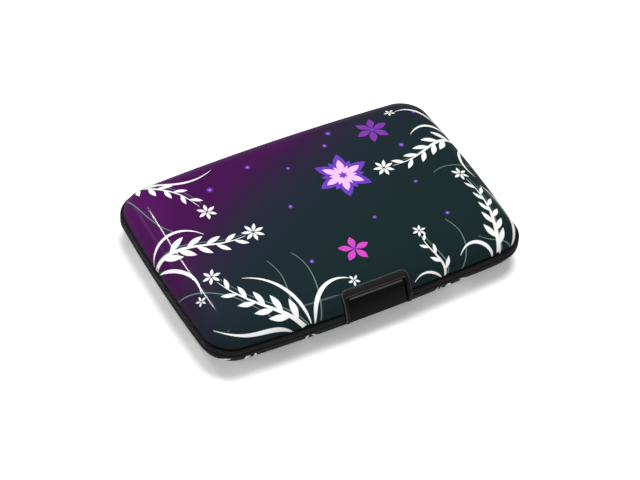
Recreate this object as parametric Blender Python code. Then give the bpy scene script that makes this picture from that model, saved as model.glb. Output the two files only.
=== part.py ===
"""Metal card holder: pressed shells on moulded frames, a pin hinge, a rocking latch and card pockets."""

import math

import bmesh
import bpy

# Closed case
CASE_LENGTH = 0.110
CASE_DEPTH = 0.075
CASE_HEIGHT = 0.020
CORNER_RADIUS = 0.0091
CORNER_LEAST = 0.0020
CORNER_SHRINK_SHARE = 0.6
LONG_SIDE_BOW = 0.00185
SHORT_SIDE_BOW = 0.0012
CORNER_STEPS = 8
LONG_STEPS = 10
SHORT_STEPS = 8

# Fits shared by all pieces
PARTING_GAP = 0.0003
SEAT_GAP = 0.00026
PIN_GAP = 0.00022
OVERRUN = 0.0001

# Pressed aluminium shells
SHELL_THICKNESS = 0.0007
SHELL_EDGE_INSET = 0.00084
SHOULDER_RUN = 0.0160
SHELL_OUTER_STEPS = 9
SHELL_INNER_STEPS = 6

# Moulded frames: the black band between the shells, and the wall behind each shell
BAND_HEIGHT = 0.00266
BAND_CHAMFER = 0.00016
WALL_THICKNESS = 0.0012
WALL_TOP = 0.0044
WALL_STEPS = 3

# Rear hinge
HINGE_LENGTH = 0.048
KNUCKLES = 5
KNUCKLE_GAP = 0.0003
BARREL_RADIUS = 0.0014
HINGE_PIN_RADIUS = 0.0005
PIN_END_WALL = 0.0008
BARREL_SIDES = 20
PIN_SIDES = 14

# Latch surround, part of the upper frame
LATCH_WIDTH = 0.0234
LATCH_CORNER_RADIUS = 0.0020
LATCH_CORNER_STEPS = 5
LATCH_PROUD = 0.0005
LATCH_SKIN_PROUD = 0.0005
LATCH_REACH = 0.0046
LATCH_DROP = 0.0018
LATCH_BEND_HEIGHT = 0.0006
LATCH_SKIN_START = 0.0027
LATCH_FACE_STEPS = 6
CHEEK_WIDTH = 0.0012
CHEEK_DEPTH = 0.0010
KEEPER_HEIGHT = 0.00585
HOUSING_FRONT = 0.0029
HOUSING_BACK = 0.0076
HOUSING_BACK_WALL = 0.0011
HOUSING_FLOOR = 0.00075
HOUSING_FLOOR_FRONT = 0.0033
HOUSING_STEPS = 4
KEEPER_DEPTH = 0.0013
CEILING_DROP = 0.0008

# Rocking latch button
BUTTON_SIDE_GAP = 0.00025
BUTTON_TOP_GAP = 0.0003
BUTTON_DROP = 0.00172
BUTTON_THICKNESS = 0.0011
BUTTON_FOOT_THICKNESS = 0.0007
BUTTON_RECESS = 0.0003
BUTTON_KNEE_HEIGHT = 0.0006
BUTTON_KNEE_INSET = 0.00025
BUTTON_BREAST_HEIGHT = 0.0029
BUTTON_BREAST_INSET = 0.00135
BUTTON_NECK_HEIGHT = 0.0049
BUTTON_NECK_INSET = 0.0024
RIDGE_HEIGHT = 0.00055
RIDGE_PROUD = 0.00045
BUTTON_PIVOT_INSET = 0.0023
BUTTON_PIVOT_HEIGHT = 0.0020
BUTTON_BOSS_RADIUS = 0.0011
LATCH_PIN_RADIUS = 0.0005
HOOK_WIDTH = 0.0150
HOOK_TIP_INSET = 0.00145
HOOK_HEIGHT = 0.0006
HOOK_CHAMFER = 0.0002

# Catch in the lower frame, under which the hook reaches
CATCH_FACE = 0.00085
CATCH_LEDGE = 0.0006
CATCH_SLOT_DEPTH = 0.0011
CATCH_SLOT_HEIGHT = 0.0012
CATCH_SIDE_GAP = 0.0005
CATCH_BOSS_DROP = 0.0026
CATCH_BOSS_BACK = 0.0038

# Return spring behind the button
SPRING_RADIUS = 0.00095
SPRING_WIRE = 0.00025
SPRING_TURNS = 3
SPRING_POINTS = 12
SPRING_HEIGHT = 0.0037

# Card pockets: two end leaves, six dividers and the pleated strips round them
POCKETS = 7
LEAF_END_INSET = 0.0118
LEAF_FRONT_INSET = 0.0129
LEAF_REAR_INSET = 0.0125
LEAF_THICKNESS = 0.0004
LEAF_CORNER_RADIUS = 0.0035
LEAF_CORNER_STEPS = 4
PAD_END_BORDER = 0.0082
PAD_SIDE_BORDER = 0.0058
PAD_THICKNESS = 0.00025
PLEAT_FILM = 0.0003
PLEAT_FRONT_DEPTH = 0.0058
PLEAT_REAR_DEPTH = 0.0019
PLEAT_JOIN_GAP = 0.00013
PLEAT_SIDE_STEPS = 5
FIRST_PLEAT_SHARE = 0.88
MIDDLE_PLEAT_SHARE = 0.5

HALF_LENGTH = CASE_LENGTH / 2
HALF_DEPTH = CASE_DEPTH / 2
HALF_HEIGHT = CASE_HEIGHT / 2
HALF_BAND = BAND_HEIGHT / 2
HALF_GAP = PARTING_GAP / 2
SHELL_EDGE = HALF_BAND + SEAT_GAP
SHOULDER_RISE = HALF_HEIGHT - SHELL_EDGE
SHELL_BACK = SHELL_THICKNESS + SEAT_GAP
LEAF_TOP = HALF_HEIGHT - SHELL_THICKNESS - PAD_THICKNESS - 2 * SEAT_GAP - LEAF_THICKNESS / 2
LEAF_PITCH = 2 * LEAF_TOP / POCKETS
LEAF_WIDTH = CASE_LENGTH - 2 * LEAF_END_INSET
LEAF_FRONT = HALF_DEPTH - LEAF_FRONT_INSET
LEAF_REAR = HALF_DEPTH - LEAF_REAR_INSET
BUTTON_HALF = LATCH_WIDTH / 2 - CHEEK_WIDTH - BUTTON_SIDE_GAP
HINGE_PLACE = (0, HALF_DEPTH, 0)
LATCH_PLACE = (0, BUTTON_PIVOT_INSET - HALF_DEPTH, BUTTON_PIVOT_HEIGHT)


def clear_scene():
    for item in list(bpy.data.objects):
        bpy.data.objects.remove(item, do_unlink=True)


def material(name, colour, metallic, roughness):
    made = bpy.data.materials.new(name)
    made.use_nodes = True
    shader = made.node_tree.nodes["Principled BSDF"]
    shader.inputs["Base Color"].default_value = (*colour, 1)
    shader.inputs["Metallic"].default_value = metallic
    shader.inputs["Roughness"].default_value = roughness
    return made


def object_from(bm, name):
    bmesh.ops.recalc_face_normals(bm, faces=bm.faces[:])
    mesh = bpy.data.meshes.new(name)
    bm.to_mesh(mesh)
    bm.free()
    mesh.shade_smooth()
    mesh.set_sharp_from_angle(angle=math.radians(28))
    made = bpy.data.objects.new(name, mesh)
    bpy.context.scene.collection.objects.link(made)
    return made


def combine(target, other, operation):
    cut = target.modifiers.new(other.name, "BOOLEAN")
    cut.operation = operation
    cut.solver = "EXACT"
    cut.object = other
    other.hide_render = True
    other.display_type = "WIRE"


def finish(piece, case, made, place=(0, 0, 0)):
    """Gives the piece its material and sets its origin at place, on its joint's axis if it moves."""
    piece.data.materials.append(made)
    piece.parent = case
    for vertex in piece.data.vertices:
        vertex.co.x -= place[0]
        vertex.co.y -= place[1]
        vertex.co.z -= place[2]
    piece.location = place


def skin_inset(height, behind):
    """Plan inset of a shell's shoulder at a height, on the surface that lies a distance behind its face."""
    share = (height - SHELL_EDGE) / (SHOULDER_RISE - behind)
    share = min(max(share, 0), 1)
    return SHELL_EDGE_INSET + behind + (SHOULDER_RUN - behind) * (1 - math.sqrt(1 - share * share))


def skin_height(inset, behind):
    share = 1 - (inset - SHELL_EDGE_INSET - behind) / (SHOULDER_RUN - behind)
    share = min(max(share, 0), 1)
    return SHELL_EDGE + (SHOULDER_RISE - behind) * math.sqrt(1 - share * share)


def plan_outline(inset):
    """The case's outline seen from above, drawn in by inset: round corners and slightly bowed sides."""
    half_x = HALF_LENGTH - inset
    half_y = HALF_DEPTH - inset
    radius = max(CORNER_RADIUS - CORNER_SHRINK_SHARE * inset, CORNER_LEAST)
    corners = ((1, -1), (1, 1), (-1, 1), (-1, -1))
    centres = [(sx * (half_x - radius), sy * (half_y - radius)) for sx, sy in corners]
    points = []
    for index, (cx, cy) in enumerate(centres):
        for step in range(CORNER_STEPS + 1):
            angle = math.radians(90) * (index - 1 + step / CORNER_STEPS)
            points.append((cx + radius * math.cos(angle), cy + radius * math.sin(angle)))
        last = points[-1]
        turn = math.radians(90) * index
        nx, ny = centres[(index + 1) % 4]
        target = (nx + radius * math.cos(turn), ny + radius * math.sin(turn))
        steps = LONG_STEPS if index % 2 else SHORT_STEPS
        for step in range(1, steps):
            share = step / steps
            points.append(tuple(a + share * (b - a) for a, b in zip(last, target)))
    bowed = []
    for x, y in points:
        bow_x = 1 - SHORT_SIDE_BOW / half_x * (y / half_y) ** 2
        bow_y = 1 - LONG_SIDE_BOW / half_y * (x / half_x) ** 2
        bowed.append((x * bow_x, y * bow_y))
    return bowed


def lofted(name, rings, closed):
    """Skins a row of rings of as many points each, back to the first one or with both ends filled."""
    bm = bmesh.new()
    rings = [[bm.verts.new(point) for point in ring] for ring in rings]
    pairs = list(zip(rings, rings[1:]))
    if closed:
        pairs.append((rings[-1], rings[0]))
    for first, second in pairs:
        for index in range(len(first)):
            after = (index + 1) % len(first)
            bm.faces.new((first[index], first[after], second[after], second[index]))
    bmesh.ops.triangulate(bm, faces=bm.faces[:])
    if not closed:
        bm.faces.new(rings[0])
        bm.faces.new(rings[-1])
    return object_from(bm, name)


def swept_round(name, stations, closed):
    """Lofts the case's outline through (inset, height) stations."""
    rings = [[(x, y, height) for x, y in plan_outline(inset)] for inset, height in stations]
    return lofted(name, rings, closed)


def extruded(name, corners, offset):
    """A flat outline pushed along offset."""
    bm = bmesh.new()
    face = bm.faces.new([bm.verts.new(corner) for corner in corners])
    moved = bmesh.ops.extrude_face_region(bm, geom=[face])["geom"]
    moved = [item for item in moved if isinstance(item, bmesh.types.BMVert)]
    bmesh.ops.translate(bm, vec=offset, verts=moved)
    return object_from(bm, name)


def across(name, section, half_width):
    """A section of (inset from the front, height) carried across the case's width."""
    corners = [(-half_width, inset - HALF_DEPTH, height) for inset, height in section]
    return extruded(name, corners, (2 * half_width, 0, 0))


def rods(name, spans, place, radius, sides):
    """Round bars along the case's length, one for each (start, end)."""
    bm = bmesh.new()
    for start, end in spans:
        verts = []
        for step in range(sides):
            angle = math.radians(360) * step / sides
            y = place[1] + radius * math.cos(angle)
            verts.append(bm.verts.new((start, y, place[2] + radius * math.sin(angle))))
        face = bm.faces.new(verts)
        moved = bmesh.ops.extrude_face_region(bm, geom=[face])["geom"]
        moved = [item for item in moved if isinstance(item, bmesh.types.BMVert)]
        bmesh.ops.translate(bm, vec=(end - start, 0, 0), verts=moved)
    return object_from(bm, name)


def rounded(width, front, rear, radius, steps, which="all"):
    """A rectangle from front to rear with round corners, all four or only the two rear ones."""
    half = width / 2
    points = []
    for index, (sx, sy) in enumerate(((1, -1), (1, 1), (-1, 1), (-1, -1))):
        edge = rear if sy > 0 else front
        if which == "rear" and sy < 0:
            points.append((sx * half, edge))
            continue
        cx = sx * (half - radius)
        cy = edge - sy * radius
        for step in range(steps + 1):
            angle = math.radians(90) * (index - 1 + step / steps)
            points.append((cx + radius * math.cos(angle), cy + radius * math.sin(angle)))
    return points


def shell(name, side):
    inner = []
    for step in range(SHELL_INNER_STEPS + 1):
        turn = math.radians(90) * (1 - step / SHELL_INNER_STEPS)
        run = (SHOULDER_RUN - SHELL_THICKNESS) * (1 - math.cos(turn))
        rise = (SHOULDER_RISE - SHELL_THICKNESS) * math.sin(turn)
        inner.append((SHELL_EDGE_INSET + SHELL_THICKNESS + run, side * (SHELL_EDGE + rise)))
    outer = []
    for step in range(SHELL_OUTER_STEPS + 1):
        turn = math.radians(90) * step / SHELL_OUTER_STEPS
        run = SHOULDER_RUN * (1 - math.cos(turn))
        outer.append((SHELL_EDGE_INSET + run, side * (SHELL_EDGE + SHOULDER_RISE * math.sin(turn))))
    return swept_round(name, inner + outer, closed=False)


def frame(name, side):
    """The band that shows between the shells, with the wall that stands behind the shell's shoulder."""
    section = [
        (BAND_CHAMFER, HALF_GAP),
        (0, HALF_GAP + BAND_CHAMFER),
        (0, HALF_BAND - BAND_CHAMFER),
        (BAND_CHAMFER, HALF_BAND),
        (SHELL_EDGE_INSET + SHELL_BACK, HALF_BAND),
    ]
    heights = [SHELL_EDGE + (WALL_TOP - SHELL_EDGE) * step / WALL_STEPS for step in range(WALL_STEPS + 1)]
    section += [(skin_inset(height, SHELL_BACK), height) for height in heights]
    section += [(skin_inset(height, SHELL_BACK + WALL_THICKNESS), height) for height in reversed(heights)]
    section.append((SHELL_EDGE_INSET + SHELL_BACK + WALL_THICKNESS, HALF_GAP))
    return swept_round(name, [(inset, side * height) for inset, height in section], closed=True)


def knuckle_spans(first):
    """The (start, end) of every second knuckle, from the first one given."""
    pitch = HINGE_LENGTH / KNUCKLES
    spans = []
    for index in range(first, KNUCKLES, 2):
        start = -HINGE_LENGTH / 2 + index * pitch
        spans.append((start + KNUCKLE_GAP / 2, start + pitch - KNUCKLE_GAP / 2))
    return spans


def add_knuckles(target, first):
    """Cuts room for the other frame's knuckles, then adds this frame's own and bores them."""
    clear = KNUCKLE_GAP * 3 / 4
    others = [(start - clear, end + clear) for start, end in knuckle_spans(1 - first)]
    room = rods(target.name + "_knuckle_room", others, HINGE_PLACE, BARREL_RADIUS + SEAT_GAP, BARREL_SIDES)
    combine(target, room, "DIFFERENCE")
    own = knuckle_spans(first)
    for index, span in enumerate(own):
        barrel = rods(f"{target.name}_barrel_{index}", [span], HINGE_PLACE, BARREL_RADIUS, BARREL_SIDES)
        combine(target, barrel, "UNION")
    bores = [(start - OVERRUN, end + OVERRUN) for start, end in own]
    if first == 0:
        bores[0] = (own[0][0] + PIN_END_WALL, bores[0][1])
    bore = rods(target.name + "_bore", bores, HINGE_PLACE, HINGE_PIN_RADIUS + PIN_GAP, PIN_SIDES)
    combine(target, bore, "DIFFERENCE")


def face_section(reach, proud):
    """The latch surround's front face from its foot to its top edge, as (inset, height)."""
    start = skin_inset(LATCH_SKIN_START, -proud)
    points = [(-LATCH_PROUD, -LATCH_DROP), (-LATCH_PROUD, LATCH_BEND_HEIGHT)]
    for step in range(LATCH_FACE_STEPS + 1):
        inset = start + (reach - start) * step / LATCH_FACE_STEPS
        points.append((inset, skin_height(inset, -proud)))
    return points


def latch_plan(name, grow, base, top):
    """The latch's outline from above, its two inner corners round, as a block between two heights."""
    plan = rounded(
        LATCH_WIDTH + 2 * grow,
        -HALF_DEPTH - LATCH_PROUD - WALL_THICKNESS,
        LATCH_REACH + grow - HALF_DEPTH,
        LATCH_CORNER_RADIUS + grow,
        LATCH_CORNER_STEPS,
        "rear",
    )
    return extruded(name, [(x, y, base) for x, y in plan], (0, 0, top - base))


def add_latch_housing(target):
    """The surround with its cheeks and keeper, and the housing behind for the button and its spring."""
    cheek_back = CHEEK_DEPTH - LATCH_PROUD
    section = face_section(LATCH_REACH + OVERRUN, LATCH_SKIN_PROUD)
    base = HALF_GAP + OVERRUN
    section += [(LATCH_REACH + OVERRUN, base), (cheek_back, base), (cheek_back, -LATCH_DROP)]
    surround = across("latch_surround", section, LATCH_WIDTH / 2 + OVERRUN)
    plan = latch_plan("latch_surround_plan", 0, -LATCH_DROP - OVERRUN, HALF_HEIGHT)
    combine(surround, plan, "INTERSECT")
    combine(target, surround, "UNION")
    roof = []
    for step in range(HOUSING_STEPS + 1):
        inset = HOUSING_FRONT + (HOUSING_BACK - HOUSING_FRONT) * step / HOUSING_STEPS
        roof.append((inset, skin_height(inset, SHELL_BACK)))
    section = [(HOUSING_FRONT, base + OVERRUN)] + roof + [(HOUSING_BACK, base + OVERRUN)]
    housing = across("latch_housing", section, LATCH_WIDTH / 2 - OVERRUN)
    combine(target, housing, "UNION")
    cavity_back = HOUSING_BACK - HOUSING_BACK_WALL
    outside = -LATCH_PROUD - OVERRUN
    section = [
        (outside, -LATCH_DROP - OVERRUN),
        (outside, KEEPER_HEIGHT),
        (skin_inset(KEEPER_HEIGHT, 0) + KEEPER_DEPTH, KEEPER_HEIGHT),
        (LATCH_REACH + OVERRUN, KEEPER_HEIGHT - CEILING_DROP),
        (cavity_back, KEEPER_HEIGHT - CEILING_DROP),
        (cavity_back, HOUSING_FLOOR),
        (HOUSING_FLOOR_FRONT, HOUSING_FLOOR),
        (HOUSING_FLOOR_FRONT, -LATCH_DROP - OVERRUN),
    ]
    cavity = across("latch_cavity", section, BUTTON_HALF + BUTTON_SIDE_GAP)
    combine(target, cavity, "DIFFERENCE")
    reach = LATCH_WIDTH / 2 - CHEEK_WIDTH / 4
    holes = rods("latch_pin_holes", [(-reach, reach)], LATCH_PLACE, LATCH_PIN_RADIUS + PIN_GAP, PIN_SIDES)
    combine(target, holes, "DIFFERENCE")


def add_catch(target):
    """A boss in the lower frame with the hook's slot, and the band cut back for the latch's foot."""
    half = LATCH_WIDTH / 2
    room = [
        (-LATCH_PROUD, -HALF_BAND - OVERRUN),
        (-LATCH_PROUD, 0),
        (CATCH_FACE, 0),
        (CATCH_FACE, -HALF_BAND - OVERRUN),
    ]
    combine(target, across("catch_room", room, half + PARTING_GAP), "DIFFERENCE")
    boss = [
        (CATCH_FACE + OVERRUN, -HALF_GAP - OVERRUN),
        (CATCH_FACE + OVERRUN, -CATCH_BOSS_DROP),
        (CATCH_BOSS_BACK, -CATCH_BOSS_DROP),
        (CATCH_BOSS_BACK, -HALF_GAP - OVERRUN),
    ]
    combine(target, across("catch_boss", boss, half), "UNION")
    top = -HALF_GAP - CATCH_LEDGE
    slot = [
        (CATCH_FACE - OVERRUN, top),
        (CATCH_FACE + CATCH_SLOT_DEPTH, top),
        (CATCH_FACE + CATCH_SLOT_DEPTH, top - CATCH_SLOT_HEIGHT),
        (CATCH_FACE - OVERRUN, top - CATCH_SLOT_HEIGHT),
    ]
    combine(target, across("catch_slot", slot, HOOK_WIDTH / 2 + CATCH_SIDE_GAP), "DIFFERENCE")


def latch_button():
    """The rocking button: a bent panel with a grip ridge, a bored boss behind and a hook at its foot."""
    foot = BUTTON_RECESS - LATCH_PROUD
    top = KEEPER_HEIGHT - BUTTON_TOP_GAP
    ridge = BUTTON_NECK_INSET - RIDGE_PROUD
    back = BUTTON_FOOT_THICKNESS
    section = [
        (foot, -BUTTON_DROP),
        (BUTTON_KNEE_INSET, BUTTON_KNEE_HEIGHT),
        (BUTTON_BREAST_INSET, BUTTON_BREAST_HEIGHT),
        (BUTTON_NECK_INSET, BUTTON_NECK_HEIGHT),
        (ridge, top - RIDGE_HEIGHT),
        (ridge + RIDGE_PROUD / 2, top),
        (BUTTON_NECK_INSET + BUTTON_THICKNESS, top),
        (BUTTON_NECK_INSET + BUTTON_THICKNESS, BUTTON_NECK_HEIGHT),
        (BUTTON_BREAST_INSET + BUTTON_THICKNESS, BUTTON_BREAST_HEIGHT),
        (BUTTON_KNEE_INSET + BUTTON_THICKNESS, BUTTON_KNEE_HEIGHT + BUTTON_THICKNESS / 2),
        (foot + back, 0),
        (foot + back, -BUTTON_DROP),
    ]
    made = across("latch_button", section, BUTTON_HALF)
    spans = [(OVERRUN - BUTTON_HALF, BUTTON_HALF - OVERRUN)]
    boss = rods("button_boss", spans, LATCH_PLACE, BUTTON_BOSS_RADIUS, BARREL_SIDES)
    combine(made, boss, "UNION")
    hook_top = HOOK_HEIGHT - BUTTON_DROP
    hook = [
        (foot + back / 2, OVERRUN - BUTTON_DROP),
        (HOOK_TIP_INSET - HOOK_CHAMFER, OVERRUN - BUTTON_DROP),
        (HOOK_TIP_INSET, HOOK_CHAMFER - BUTTON_DROP),
        (HOOK_TIP_INSET, hook_top),
        (foot + back / 2, hook_top),
    ]
    combine(made, across("button_hook", hook, HOOK_WIDTH / 2), "UNION")
    reach = BUTTON_HALF + OVERRUN
    bore = rods("button_bore", [(-reach, reach)], LATCH_PLACE, LATCH_PIN_RADIUS + PIN_GAP, PIN_SIDES)
    combine(made, bore, "DIFFERENCE")
    return made


def latch_spring():
    """A small compression spring between the button's back and the housing's rear wall."""
    share = (SPRING_HEIGHT - BUTTON_BREAST_HEIGHT) / (BUTTON_NECK_HEIGHT - BUTTON_BREAST_HEIGHT)
    face = BUTTON_BREAST_INSET + share * (BUTTON_NECK_INSET - BUTTON_BREAST_INSET)
    lean = (BUTTON_NECK_INSET - BUTTON_BREAST_INSET) / (BUTTON_NECK_HEIGHT - BUTTON_BREAST_HEIGHT)
    start = face + BUTTON_THICKNESS + SEAT_GAP + SPRING_WIRE / 2 + lean * (SPRING_RADIUS + SPRING_WIRE)
    end = HOUSING_BACK - HOUSING_BACK_WALL - SEAT_GAP - SPRING_WIRE / 2
    count = SPRING_TURNS * SPRING_POINTS
    curve = bpy.data.curves.new("latch_spring", "CURVE")
    curve.dimensions = "3D"
    curve.bevel_depth = SPRING_WIRE / 2
    curve.bevel_resolution = 1
    curve.use_fill_caps = True
    spline = curve.splines.new("POLY")
    spline.points.add(count)
    for index in range(count + 1):
        angle = math.radians(360) * index / SPRING_POINTS
        y = start + (end - start) * index / count - HALF_DEPTH
        x = SPRING_RADIUS * math.cos(angle)
        spline.points[index].co = (x, y, SPRING_HEIGHT + SPRING_RADIUS * math.sin(angle), 1)
    made = bpy.data.objects.new("latch_spring", curve)
    bpy.context.scene.collection.objects.link(made)
    pitch = (end - start) / SPRING_TURNS
    print("spring turn to turn gap", round(pitch - SPRING_WIRE, 6), "m over", count + 1, "points")
    return made


def leaf_height(index):
    return -LEAF_TOP + index * LEAF_PITCH


def plan_plate(name, plan, middle, thickness):
    base = middle - thickness / 2
    return extruded(name, [(x, y, base) for x, y in plan], (0, 0, thickness))


def pleat_path():
    """Points, outward directions and shares of the way back, down both sides and round the rear."""
    half = LEAF_WIDTH / 2
    sides = []
    for step in range(PLEAT_SIDE_STEPS):
        y = -LEAF_FRONT + (LEAF_REAR - LEAF_CORNER_RADIUS + LEAF_FRONT) * step / PLEAT_SIDE_STEPS
        sides.append(((half + SEAT_GAP, y), (1, 0)))
    for step in range(LEAF_CORNER_STEPS + 1):
        angle = math.radians(90) * step / LEAF_CORNER_STEPS
        cx = half - LEAF_CORNER_RADIUS
        cy = LEAF_REAR - LEAF_CORNER_RADIUS
        radius = LEAF_CORNER_RADIUS + SEAT_GAP
        place = (cx + radius * math.cos(angle), cy + radius * math.sin(angle))
        sides.append((place, (math.cos(angle), math.sin(angle))))
    back = [((-x, y), (-nx, ny)) for (x, y), (nx, ny) in reversed(sides)]
    path = []
    for (x, y), outward in sides + back:
        share = min(max((y + LEAF_FRONT) / (LEAF_REAR + LEAF_FRONT), 0), 1)
        path.append(((x, y), outward, share))
    return path


def pleat(name, index):
    """One folded strip between two leaves: a V that is deepest at the front, open where the cards go in."""
    low = leaf_height(index) + PLEAT_JOIN_GAP
    high = leaf_height(index + 1) - PLEAT_JOIN_GAP
    apex_share = MIDDLE_PLEAT_SHARE
    if index == 0:
        apex_share = FIRST_PLEAT_SHARE
    if index == POCKETS - 1:
        apex_share = 1 - FIRST_PLEAT_SHARE
    apex = low + apex_share * (high - low)
    sections = []
    for (x, y), (nx, ny), share in pleat_path():
        depth = PLEAT_FRONT_DEPTH + share * (PLEAT_REAR_DEPTH - PLEAT_FRONT_DEPTH)
        fold = depth - PLEAT_FILM * depth / (high - low)
        fold = max(fold, depth / 2)
        tip = (x + nx * depth, y + ny * depth)
        inner = (x + nx * fold, y + ny * fold)
        inner_apex = min(max(apex, low + PLEAT_FILM), high - PLEAT_FILM)
        corners = [(x, y, low), (*tip, apex), (x, y, high)]
        corners += [(x, y, high - PLEAT_FILM), (*inner, inner_apex), (x, y, low + PLEAT_FILM)]
        sections.append(corners)
    return lofted(name, sections, closed=False)


def build():
    clear_scene()
    case = bpy.data.objects.new("case", None)
    bpy.context.scene.collection.objects.link(case)
    rear_proud = BARREL_RADIUS
    case.location = (0, (LATCH_PROUD - rear_proud) / 2, HALF_HEIGHT)

    printed_upper = material("printed_aluminium_upper", (0.035, 0.018, 0.045), 0.6, 0.18)
    printed_lower = material("printed_aluminium_lower", (0.035, 0.018, 0.045), 0.6, 0.18)
    black_upper = material("black_abs_upper", (0.013, 0.012, 0.011), 0, 0.38)
    black_lower = material("black_abs_lower", (0.013, 0.012, 0.011), 0, 0.38)

    lower_shell = shell("lower_shell", -1)
    half = LATCH_WIDTH / 2 + PARTING_GAP
    notch_depth = SHELL_EDGE_INSET + SHELL_THICKNESS + WALL_THICKNESS
    notch = [
        (-LATCH_PROUD, 0),
        (notch_depth, 0),
        (notch_depth, -CATCH_BOSS_DROP - PARTING_GAP),
        (-LATCH_PROUD, -CATCH_BOSS_DROP - PARTING_GAP),
    ]
    combine(lower_shell, across("lower_shell_notch", notch, half), "DIFFERENCE")
    finish(lower_shell, case, printed_lower)

    upper_shell = shell("upper_shell", 1)
    combine(upper_shell, latch_plan("upper_shell_notch", SEAT_GAP, 0, CASE_HEIGHT), "DIFFERENCE")
    finish(upper_shell, case, printed_upper, HINGE_PLACE)

    lower_frame = frame("lower_frame", -1)
    add_knuckles(lower_frame, 0)
    add_catch(lower_frame)
    finish(lower_frame, case, black_lower)

    upper_frame = frame("upper_frame", 1)
    add_knuckles(upper_frame, 1)
    add_latch_housing(upper_frame)
    finish(upper_frame, case, black_upper, HINGE_PLACE)

    pin_end = HINGE_LENGTH / 2 - PIN_END_WALL - SEAT_GAP
    hinge_pin = rods("hinge_pin", [(-pin_end, pin_end)], HINGE_PLACE, HINGE_PIN_RADIUS, PIN_SIDES)
    finish(hinge_pin, case, material("steel_hinge_pin", (0.55, 0.55, 0.56), 1, 0.3), HINGE_PLACE)

    button = latch_button()
    finish(button, case, material("black_abs_button", (0.010, 0.009, 0.009), 0, 0.34), LATCH_PLACE)
    reach = LATCH_WIDTH / 2 - CHEEK_WIDTH / 4 - SEAT_GAP
    latch_pin = rods("latch_pin", [(-reach, reach)], LATCH_PLACE, LATCH_PIN_RADIUS, PIN_SIDES)
    finish(latch_pin, case, material("steel_latch_pin", (0.55, 0.55, 0.56), 1, 0.3), LATCH_PLACE)
    spring = latch_spring()
    spring.data.materials.append(material("spring_steel", (0.45, 0.45, 0.47), 1, 0.25))
    spring.parent = case

    pad_middle = HALF_HEIGHT - SHELL_THICKNESS - SEAT_GAP - PAD_THICKNESS / 2
    pad_plan = rounded(
        LEAF_WIDTH - 2 * PAD_END_BORDER,
        PAD_SIDE_BORDER - LEAF_FRONT,
        LEAF_REAR - PAD_SIDE_BORDER,
        LEAF_CORNER_RADIUS,
        LEAF_CORNER_STEPS,
    )
    leaf_plan = rounded(LEAF_WIDTH, -LEAF_FRONT, LEAF_REAR, LEAF_CORNER_RADIUS, LEAF_CORNER_STEPS)
    for word, side, place in (("lower", -1, (0, 0, 0)), ("upper", 1, HINGE_PLACE)):
        pad = plan_plate(f"adhesive_pad_{word}", pad_plan, side * pad_middle, PAD_THICKNESS)
        finish(pad, case, material(f"adhesive_foam_{word}", (0.60, 0.58, 0.54), 0, 0.8), place)
        leaf = plan_plate(f"end_leaf_{word}", leaf_plan, side * LEAF_TOP, LEAF_THICKNESS)
        finish(leaf, case, material(f"black_film_end_{word}", (0.020, 0.020, 0.022), 0, 0.45), place)

    for index in range(1, POCKETS):
        leaf = plan_plate(f"divider_leaf_{index}", leaf_plan, leaf_height(index), LEAF_THICKNESS)
        finish(leaf, case, material(f"black_film_{index}", (0.020, 0.020, 0.022), 0, 0.45), HINGE_PLACE)

    for index in range(POCKETS):
        strip = pleat(f"pleat_{index + 1}", index)
        finish(strip, case, material(f"pleat_film_{index + 1}", (0.026, 0.026, 0.028), 0, 0.5))

    # the cutters stand in the case's space too
    for item in bpy.data.objects:
        if item.hide_render:
            item.parent = case
    bpy.context.view_layer.update()


build()
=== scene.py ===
from math import asin, atan2, cos, dist, hypot, pi, radians, sin, sqrt

import bmesh
import bpy
from mathutils import Matrix, Vector


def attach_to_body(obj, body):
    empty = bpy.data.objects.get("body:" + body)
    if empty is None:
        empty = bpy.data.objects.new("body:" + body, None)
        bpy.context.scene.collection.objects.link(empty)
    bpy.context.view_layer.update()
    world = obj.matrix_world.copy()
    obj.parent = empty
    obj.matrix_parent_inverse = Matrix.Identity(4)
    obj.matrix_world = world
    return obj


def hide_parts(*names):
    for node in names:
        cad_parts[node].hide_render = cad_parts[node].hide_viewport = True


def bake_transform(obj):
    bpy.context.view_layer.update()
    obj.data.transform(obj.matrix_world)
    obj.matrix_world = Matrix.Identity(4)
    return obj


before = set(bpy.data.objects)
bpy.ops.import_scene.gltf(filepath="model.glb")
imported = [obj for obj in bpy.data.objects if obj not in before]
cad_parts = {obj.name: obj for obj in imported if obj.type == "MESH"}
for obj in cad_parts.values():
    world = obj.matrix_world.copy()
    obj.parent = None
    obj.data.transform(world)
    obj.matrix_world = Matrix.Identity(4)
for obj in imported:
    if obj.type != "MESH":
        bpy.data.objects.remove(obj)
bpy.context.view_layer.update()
print("frame loaded:", len(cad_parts), "nodes")

# Every form is drawn in millimetres about the middle of the case, with the parting plane at zero
mm = 0.001
caseForm = {
    "length": 110,
    "depth": 75,
    "cornerRadius": 9.1,
    "cornerShrink": 0.6,     # how fast the corner tightens towards the middle of the lid
    "leastRadius": 2,
    "longBow": 1.85,         # how far the long sides swell beyond their ends
    "shortBow": 1.2,
    "edgeHeight": 1.59,      # the shell's edge above the parting plane
    "edgeInset": 0.84,
    "shoulderRun": 16,
    "shoulderRise": 8.365,   # a hair under the lid's full height, which the inks on it reach
    "shellThickness": 0.7,
    "seatGap": 0.26,
    "middleY": -0.45,        # the case's middle in the row frame
    "partingHeight": 10,
    "cornerSteps": 20,
    "longSteps": 40,
    "shortSteps": 28,
    "barSides": 24,
    "barEdge": 0.1,
    "over": 0.1,             # how far a cutter runs past what it cuts
    "outside": 2,            # how far in front of the case it starts
}
near = 0.0001                # places closer than this are the same
toRow = Matrix.Translation((0, caseForm["middleY"], caseForm["partingHeight"]))
toRow = Matrix.Scale(mm, 4) @ toRow
halfLength = caseForm["length"] / 2
halfDepth = caseForm["depth"] / 2
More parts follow.
